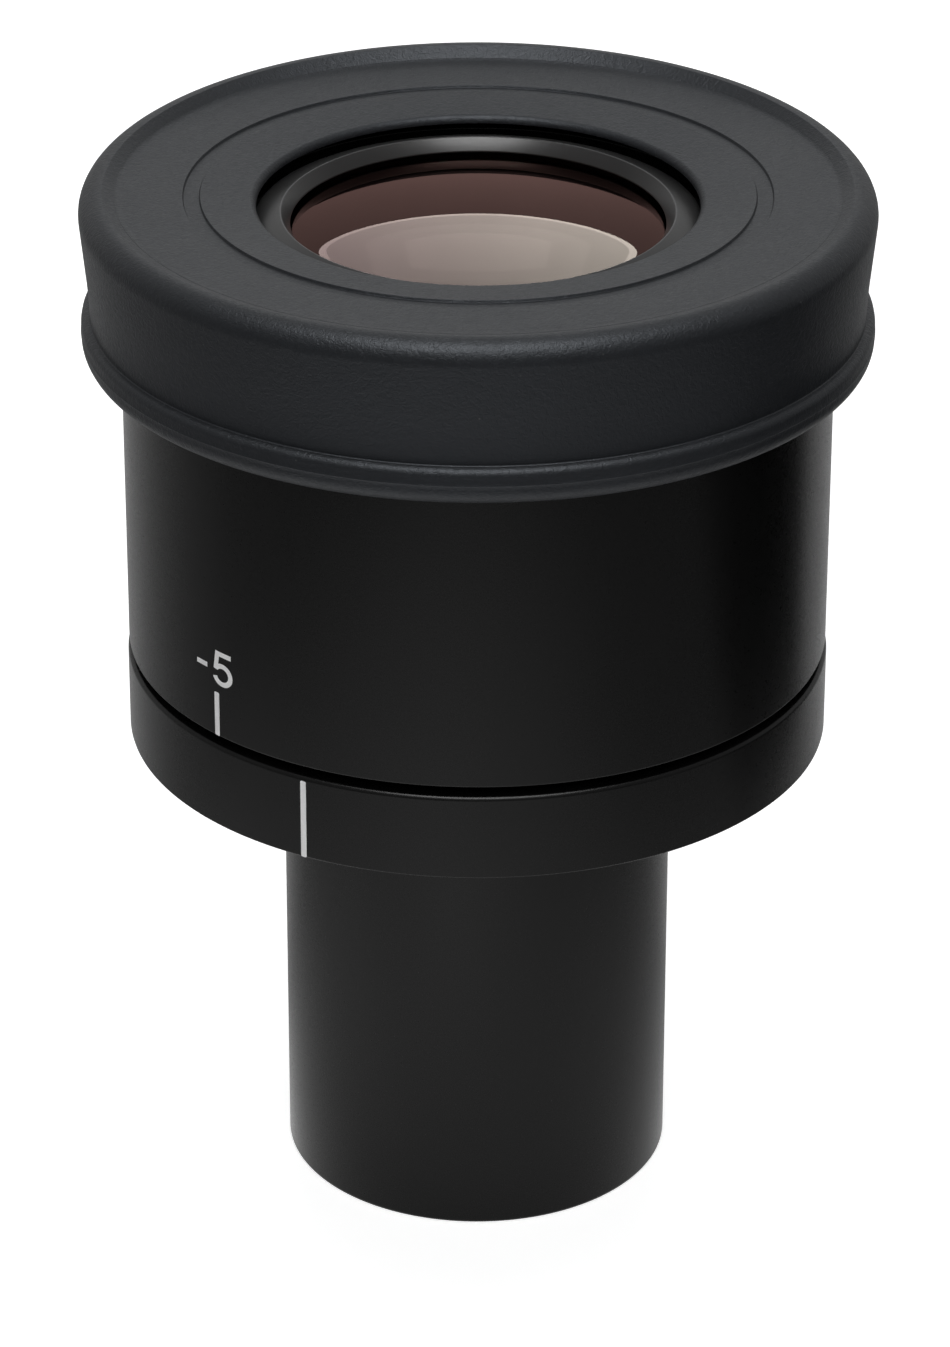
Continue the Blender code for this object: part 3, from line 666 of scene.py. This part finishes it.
# Cuts round holes in a piece where screws stand.
def drill(piece, screws):
    bm = bmesh.new()
    for screw in screws:
        low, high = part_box(screw)
        middle = (low + high) / 2.0
        outwards = Vector((middle.x, middle.y, 0.0)).normalized()
        made = bmesh.ops.create_cone(
            bm,
            cap_ends=True,
            segments=knob["drillSides"],
            radius1=knob["screwHole"],
            radius2=knob["screwHole"],
            depth=knob["drillLength"],
        )["verts"]
        turn = outwards.to_track_quat("Z", "X").to_matrix()
        bmesh.ops.rotate(bm, cent=(0.0, 0.0, 0.0), matrix=turn, verts=made)
        bmesh.ops.translate(bm, vec=middle, verts=made)
    cutter = newObject("screw holes", bm)
    piece.modifiers.clear()
    cut = piece.modifiers.new("holes", "BOOLEAN")
    cut.object = cutter
    cut.solver = "EXACT"
    bpy.context.view_layer.update()
    done = piece.evaluated_get(bpy.context.evaluated_depsgraph_get())
    piece.data = bpy.data.meshes.new_from_object(done)
    piece.modifiers.clear()
    levelShading(piece)
    bpy.data.objects.remove(cutter)


def buildKnob():
    low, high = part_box("dioptre_ring")
    bore = radiiAt("dioptre_ring", low.z)[0]
    neckBore, neck = radiiAt("dioptre_ring", high.z)
    heights = heightsOf("dioptre_ring")
    shoulder = [z for z in heights if z < high.z - mm][-1]
    webLow = [z for z in heights if z < shoulder - mm][-1]
    outline = [
        (bore, low.z, knob["edge"]),
        (high.x, low.z, knob["lowerEdge"]),
        (high.x, shoulder, knob["shoulderEdge"]),
        (neck, shoulder, 0.0),
        (neck, high.z, knob["edge"]),
        (neckBore, high.z, knob["edge"]),
        (neckBore, webLow, knob["edge"]),
        (bore, webLow, 0.0),
    ]
    bm = turnedMesh(outline, knob["sides"])
    piece = addPiece("knob", bm, blackAnodised, "dioptre_knob", ["dioptre_ring"])
    drill(piece, ["lock_screw_1", "lock_screw_2", "lock_screw_3"])


buildKnob()
print("knob built")

eyecup = {
    "sides": 256,
    "lipHeight": 1.3 * mm,  # from its underside at the neck to the aperture's rim
    "lipThickness": 0.55 * mm,
    "lipRounding": 0.45 * mm,
    "lipRoot": 0.1 * mm,  # underside's root outside the neck's bore
    "lipEdge": 0.2 * mm,
    "grooveRise": 0.5 * mm,  # from the aperture's rim to the groove
    "grooveReach": (0.1 * mm, 1.4 * mm),  # outside the neck
    "grooveWall": 0.08 * mm,
    "grooveDepth": 0.2 * mm,
    "grooveEdge": 0.03 * mm,
    "creaseRidge": 0.02 * mm,
    "creaseReach": 0.85 * mm,  # from the crease out to the roll's top
    "creaseDrop": 0.05 * mm,
    "rollRadius": 1.9 * mm,
    "rollFlare": 0.17 * mm,  # wall's line carried up past the roll
    "waistBand": (1.0 * mm, 3.0 * mm),  # above the bead
    "waistRounding": 1.2 * mm,
    "beadHeight": 3.0 * mm,
    "beadStep": 0.62 * mm,
    "beadEdge": 0.12 * mm,
    "beadRounding": 1.4 * mm,
    "partingDrop": 1.25 * mm,
    "partingRidge": 0.03 * mm,
    "lean": 0.0255,  # rise of the folded roll per metre towards the back
    "leanSoft": 6.0 * mm,
    "leanFade": (72.0 * mm, 77.0 * mm),
    "leanIn": 1.0 * mm,  # inside the crease, where the rise starts
    "leanOut": 0.85 * mm,
    "topThickness": 1.72 * mm,
    "collarThickness": 1.9 * mm,
    "edge": 0.3 * mm,
}


# Lifts the folded roll towards the back, blended into the flat top inside the crease.
def leanRoll(bm, crease, creaseZ):
    fadeLow, fadeHigh = eyecup["leanFade"]
    start, end = crease - eyecup["leanIn"], crease + eyecup["leanOut"]
    for vert in bm.verts:
        reach = vert.co.xy.length
        onTop = vert.co.z > creaseZ - eyecup["topThickness"] / 2.0
        if reach > start and (reach > end or onTop):
            along = min((reach - start) / (end - start), 1.0)
            share = min(max((vert.co.z - fadeLow) / (fadeHigh - fadeLow), 0.0), 1.0)
            back = (vert.co.y + math.hypot(vert.co.y, eyecup["leanSoft"])) / 2.0
            vert.co.z += share * along * along * eyecup["lean"] * back


def buildEyecup():
    low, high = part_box("eyecup")
    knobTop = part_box("dioptre_ring")[1].z
    neckBore, neck = radiiAt("dioptre_ring", knobTop)
    knobShoulder = [z for z in heightsOf("dioptre_ring") if z < knobTop - mm][-1]
    aperture = radiiBetween("eyecup", low.z, high.z)[0]
    skirt = radiiAt("eyecup", low.z)[0]
    heights = heightsOf("eyecup")
    lipZ = knobTop + eyecup["edge"]
    edgeZ = lipZ + eyecup["lipHeight"]
    grooveZ = edgeZ + eyecup["grooveRise"]
    floorZ = grooveZ - eyecup["grooveDepth"]
    grooveIn, grooveOut = [neck + reach for reach in eyecup["grooveReach"]]
    wall, lip = eyecup["grooveWall"], eyecup["grooveEdge"]
    creaseZ = [z for z in heights if z > grooveZ + 10.0 * hair][0]
    crease = radiiAt("eyecup", creaseZ)[0]
    ridge = eyecup["creaseRidge"]
    beadZ = low.z + eyecup["beadHeight"]
    beadTop = radiiAt("eyecup", beadZ)[1]
    waistLow, waistHigh = [beadZ + rise for rise in eyecup["waistBand"]]
    waistZ = [z for z in heights if waistLow < z < waistHigh][0]
    waist = radiiAt("eyecup", waistZ)[1]
    roll = radiiBetween("eyecup", waistHigh + mm, high.z)[1]
    partingZ, parting = beadZ - eyecup["partingDrop"], eyecup["partingRidge"]
    collarIn = neck + eyecup["edge"]
    collarOut = collarIn + eyecup["collarThickness"]
    underZ = creaseZ - eyecup["topThickness"]
    outline = [
        (neckBore + eyecup["lipRoot"], lipZ, eyecup["lipEdge"]),
        (aperture, edgeZ - eyecup["lipThickness"], 0.0),
        (aperture, edgeZ, eyecup["lipRounding"]),
        (grooveIn, grooveZ, lip),
        (grooveIn + wall, floorZ, lip),
        (grooveOut - wall, floorZ, lip),
        (grooveOut, grooveZ, lip),
        (crease - eyecup["leanIn"], creaseZ - 2.0 * hair, 0.0),
        (crease - eyecup["leanIn"] / 2.0, creaseZ - hair, 0.0),
        (crease - 2.0 * ridge, creaseZ, 0.0),
        (crease, creaseZ + ridge, 0.0),
        (crease + 2.0 * ridge, creaseZ, 0.0),
        (crease + eyecup["creaseReach"], high.z - eyecup["creaseDrop"], 0.0),
        (roll + eyecup["rollFlare"], high.z, eyecup["rollRadius"]),
        (waist, waistZ, eyecup["waistRounding"]),
        (beadTop, beadZ, eyecup["beadEdge"]),
        (high.x, beadZ, eyecup["beadStep"]),
        (high.x, partingZ + 2.0 * parting, 0.0),
        (high.x + parting, partingZ, 0.0),
        (high.x, partingZ - 2.0 * parting, 0.0),
        (high.x, low.z, eyecup["beadRounding"]),
        (skirt, low.z, eyecup["edge"]),
        (skirt, underZ, eyecup["edge"]),
        (collarOut, underZ, eyecup["edge"]),
        (collarOut, knobShoulder + eyecup["edge"], eyecup["edge"]),
        (collarIn, knobShoulder + eyecup["edge"], eyecup["edge"]),
        (collarIn, lipZ, eyecup["lipEdge"]),
    ]
    bm = turnedMesh(outline, eyecup["sides"])
    leanRoll(bm, crease, creaseZ)
    addPiece("eyecup_rubber", bm, blackRubber, "rubber_eyecup", ["eyecup"], 50.0)


buildEyecup()
print("eyecup built")

optics = {
    "sides": 128,
    "steps": 16,
    # Radii of the lower and the upper surface. A hollow surface is negative.
    "surfaces": {
        "eye_lens": (45.0 * mm, 75.0 * mm),
        "middle_crown_lens": (32.0 * mm, 40.0 * mm),
        "middle_flint_lens": (-80.0 * mm, -32.0 * mm),
        "field_crown_lens": (45.0 * mm, 60.0 * mm),
        "field_flint_lens": (-55.0 * mm, -45.0 * mm),
    },
}


# One lens surface: a corner on the axis, spun along its curve to the edge.
def lensSurface(bm, height, side, curve, radius):
    reach = math.asin(radius / abs(curve))
    start = bm.verts.new((0.0, 0.0, height))
    middle = (0.0, 0.0, height - side * curve)
    turn = side * math.copysign(reach, curve)
    made = bmesh.ops.spin(
        bm, geom=[start], axis=(0.0, 1.0, 0.0), cent=middle, angle=turn, steps=optics["steps"]
    )
    return [item for item in made["geom_last"] if isinstance(item, bmesh.types.BMVert)][0]


def buildLens(node):
    lowCurve, highCurve = optics["surfaces"][node]
    low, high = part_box(node)
    radius = high.x
    lowSag = abs(lowCurve) - math.sqrt(lowCurve**2 - radius**2)
    highSag = abs(highCurve) - math.sqrt(highCurve**2 - radius**2)
    lowZ = low.z if lowCurve > 0.0 else low.z + lowSag
    highZ = high.z if highCurve > 0.0 else high.z - highSag
    bm = bmesh.new()
    lowEnd = lensSurface(bm, lowZ, -1.0, lowCurve, radius)
    highEnd = lensSurface(bm, highZ, 1.0, highCurve, radius)
    bm.edges.new((lowEnd, highEnd))
    spinRound(bm, list(bm.verts) + list(bm.edges), optics["sides"])
    piece = addPiece(f"{node}_polished", bm, greenCoated, "lens_carriage", [node])
    if node == "eye_lens":
        piece.data.materials.append(purpleCoated)
        for polygon in piece.data.polygons:
            polygon.material_index = 1 if polygon.normal.z > 0.5 else 0


for lens in optics["surfaces"]:
    buildLens(lens)

retainer = {
    "sides": 256,
    "crestRounding": 0.10 * mm,
    "edge": 0.1 * mm,
    "lipEdge": 0.03 * mm,
    "rimHeight": 2.2 * mm,
    "lipBand": (1.5 * mm, 0.1 * mm),  # above the underside, below the crest
    "sharp": 25.0,
}


def buildRetainer():
    low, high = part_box("eye_lens_retainer")
    bore = radiiAt("eye_lens_retainer", low.z)[0]
    edgeZ = low.z + retainer["rimHeight"]
    lip = radiiBetween("eye_lens_retainer", low.z, high.z)[0]
    crest = radiiAt("eye_lens_retainer", high.z)[0]
    above, below = retainer["lipBand"]
    lipZ = [z for z in heightsOf("eye_lens_retainer") if low.z + above < z < high.z - below]
    outline = [
        (bore, low.z, retainer["edge"]),
        (high.x, low.z, retainer["edge"]),
        (high.x, edgeZ, retainer["edge"]),
        (crest, high.z, retainer["crestRounding"]),
        (lip, lipZ[-1], retainer["lipEdge"]),
        (lip, lipZ[0], retainer["lipEdge"]),
        (bore, lipZ[0], 0.0),
    ]
    bm = turnedMesh(outline, retainer["sides"], 3)
    name, replaced = "lens_retaining_ring", ["eye_lens_retainer"]
    sharp = retainer["sharp"]
    addPiece(name, bm, retainerBlack, "lens_carriage", replaced, sharp)


buildRetainer()
print("optics built")

nodeFinishes = {
    "guide_sleeve": mattInside,
    "field_stop": mattInside,
    "field_stop_retainer": mattInside,
    "lens_cell": mattInside,
    "eye_lens_spacer": mattInside,
    "field_lens_retainer": mattInside,
    "helicoid_nut": brass,
    "thrust_ring": brass,
}


def finishNodes():
    for name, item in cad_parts.items():
        item.data.materials.clear()
        item.data.materials.append(nodeFinishes.get(name, steel))


finishNodes()
print("inner parts finished")

studio = {
    "camera": (-0.00018, -0.383344, 0.235151),
    "pitch": 26.905,  # degrees below the horizon
    "roll": 0.11,
    "lens": 148.58,
    "floorColour": colour(0.85, 0.85, 0.85),
    "floorSeen": 0.74,  # added for the camera
    "floorMirrored": 0.10,  # added for gloss and glass
    "paintedPoolX": -0.014,  # painted pool of light on the table in front of the foot, glowing for gloss and glass only
    "paintedPoolY": -0.075,
    "paintedPoolGlow": 2.8,
    "paintedPoolSquash": 0.64,
    "paintedPoolStops": [(0.0, 1.0), (0.15, 0.75), (0.35, 0.42), (0.45, 0.22), (0.56, 0.0)],
    "paintedPoolFade": [(0.28, 1.0), (0.72, 0.0)],  # from the front to the back of the foot
    "worldFill": 0.12,
    "aim": (0.0, 0.0, 0.079),  # where the softboxes point
    "panelSides": 128,
}

# Softboxes: elevation, azimuth from the front, distance, half width, rounded end, straight length.
panels = {
    "back panel": {
        "elevation": 34.0,
        "azimuth": 180.0,
        "distance": 1.0,
        "halfWidth": 0.183,
        "end": 0.1235,
        "straight": 0.12,
        "glow": 12.8,
        "tints": (colour(0.655, 1.0, 0.98), colour(0.41, 0.54, 0.575)),
        "dull": colour(0.26, 0.265, 0.27),
        "insets": [(0.009, 16.5), (0.045, 11.0), (0.045, 11.8)],  # rings from the edge: width, glow
    },
    "front panel": {
        "elevation": 42.0,
        "azimuth": 0.0,
        "distance": 1.0,
        "halfWidth": 0.32,
        "end": 0.2,
        "straight": 0.1,
        "glow": 4.5,
    },
    "overhead panel": {
        "elevation": 82.0,
        "azimuth": 180.0,
        "distance": 0.9,
        "halfWidth": 0.4,
        "end": 0.25,
        "straight": 0.1,
        "glow": 2.6,
    },
    "highlight panel": {
        "elevation": 72.0,
        "azimuth": 0.0,
        "distance": 0.9,
        "halfWidth": 0.3,
        "end": 0.2,
        "straight": 0.3,
        "glow": 24.0,
        "glossOnly": True,
    },
}


def addStage(name, bm, material):
    item = newObject(name, bm)
    item.data.materials.append(material)
    return item


# 1 for what the camera sees, directly or through gloss and glass, and a dim fill for light on the
# object.
def buildWorld():
    world = bpy.data.worlds.new("studio")
    bpy.context.scene.world = world
    world.use_nodes = True
    recipe = Recipe(world.node_tree)
    rays = recipe.node("ShaderNodeLightPath")
    seen = rays.out("Is Camera Ray").math("MAXIMUM", rays.out("Is Glossy Ray"))
    seen = seen.math("MAXIMUM", rays.out("Is Transmission Ray"))
    fill = studio["worldFill"]
    inputs = {"Color": colour(1, 1, 1), "Strength": fill + seen * (1.0 - fill)}
    recipe.node("ShaderNodeOutputWorld", {}, [recipe.node("ShaderNodeBackground", {}, inputs)])


def buildFloor():
    bm = bmesh.new()
    bmesh.ops.create_grid(bm, x_segments=1, y_segments=1, size=3.0)
    material, recipe = newMaterial("pale floor")
    rays = recipe.node("ShaderNodeLightPath")
    mirrored = rays.out("Is Glossy Ray").math("MAXIMUM", rays.out("Is Transmission Ray"))
    places = recipe.axes()
    across, along = places - studio["paintedPoolX"], places.out("Y") - studio["paintedPoolY"]
    reach = (across * across + along * along * studio["paintedPoolSquash"]).math("SQRT", 0.0)
    # Painted pool of light: a glow on the table in front of the foot that fades towards the back, seen
    # only in gloss and glass
    patch = recipe.ramp(reach * 5.0, studio["paintedPoolStops"])
    patch = patch * recipe.ramp(places.out("Y") * 10.0 + 0.5, studio["paintedPoolFade"])
    sockets = {
        "Base Color": studio["floorColour"],
        "Roughness": 0.9,
        "Specular IOR Level": 0.0,
        "Emission Color": rays.out("Is Camera Ray") * studio["floorSeen"]
        + mirrored * (studio["floorMirrored"] + patch * studio["paintedPoolGlow"]),
        "Emission Strength": 1.0,
    }
    finishMaterial(recipe, sockets)
    addStage("floor", bm, material)


# Light of a softbox. One with tints shows them only in polished glass, and is dull elsewhere.
def glowing(name, strength, panel):
    material, recipe = newMaterial(name)
    shade = colour(1, 1, 1)
    if "tints" in panel:
        across = recipe.ramp(recipe.axes() * 3.0 + 0.5, [(0.0, 0.0), (1.0, 1.0)])
        shade = recipe.mix(across, *panel["tints"])
        polished = recipe.node("ShaderNodeLightPath").out("Is Singular Ray")
        shade = recipe.mix(polished, panel["dull"], shade)
    light = recipe.node("ShaderNodeEmission", {}, {"Color": shade, "Strength": strength})
    recipe.node("ShaderNodeOutputMaterial", {}, [light])
    return material


# A softbox: a disc drawn out to a bar with round ends, in rings of different brightness.
def buildPanel(name, panel):
    bm = bmesh.new()
    bmesh.ops.create_circle(bm, cap_ends=True, segments=studio["panelSides"], radius=1.0)
    bmesh.ops.scale(bm, vec=(panel["halfWidth"], panel["end"], 1.0), verts=bm.verts)
    upper = [vert for vert in bm.verts if vert.co.y > 0.0]
    bmesh.ops.translate(bm, vec=(0.0, panel["straight"], 0.0), verts=upper)
    bmesh.ops.translate(bm, vec=(0.0, -panel["straight"] / 2.0, 0.0), verts=bm.verts)
    rings = panel.get("insets", [])
    for number, (width, _) in enumerate(rings):
        inner = [face for face in bm.faces if face.material_index == 0]
        made = bmesh.ops.inset_region(bm, faces=inner, thickness=width, use_boundary=True)["faces"]
        for face in made:
            face.material_index = number + 1
    sheet = addStage(name, bm, glowing(name, panel["glow"], panel))
    for number, (_, glow) in enumerate(rings):
        sheet.data.materials.append(glowing(f"{name} ring {number + 1}", glow, panel))
    rise, turn = math.radians(panel["elevation"]), math.radians(panel["azimuth"])
    level = math.cos(rise)
    direction = Vector((math.sin(turn) * level, -math.cos(turn) * level, math.sin(rise)))
    sheet.location = Vector(studio["aim"]) + direction * panel["distance"]
    sheet.rotation_euler = direction.to_track_quat("Z", "Y").to_euler()
    sheet.visible_camera = False
    sheet.visible_diffuse = not panel.get("glossOnly", False)


# A black card on the table at the right, seen only in the gloss of the metal. It widens outwards.
card = {"near": (0.088, -0.010, 0.047), "far": (0.45, -0.22, 0.36), "height": 0.0005}


def buildCard():
    bm = bmesh.new()
    bmesh.ops.create_grid(bm, x_segments=1, y_segments=1, size=1.0)
    for vert in bm.verts:
        reach, right, left = card["far"] if vert.co.x > 0.0 else card["near"]
        vert.co = (reach, left if vert.co.y > 0.0 else right, card["height"])
    material, recipe = newMaterial("black card")
    finishMaterial(recipe, {"Base Color": colour(0, 0, 0), "Roughness": 1.0, "Specular IOR Level": 0.0})
    sheet = addStage("black card", bm, material)
    sheet.visible_camera = False
    sheet.visible_diffuse = False
    sheet.visible_shadow = False


def buildCamera():
    data = bpy.data.cameras.new("camera")
    data.lens = studio["lens"]
    data.clip_start = 0.01
    camera = bpy.data.objects.new("camera", data)
    down = Matrix.Rotation(math.radians(90.0 - studio["pitch"]), 4, "X")
    roll = Matrix.Rotation(math.radians(studio["roll"]), 4, "Z")
    camera.matrix_world = Matrix.Translation(studio["camera"]) @ down @ roll
    bpy.context.scene.collection.objects.link(camera)
    bpy.context.scene.camera = camera


buildWorld()
buildFloor()
for name, panel in panels.items():
    buildPanel(name, panel)
buildCard()
buildCamera()
bpy.context.scene.view_settings.view_transform = "Standard"
print("studio ready")
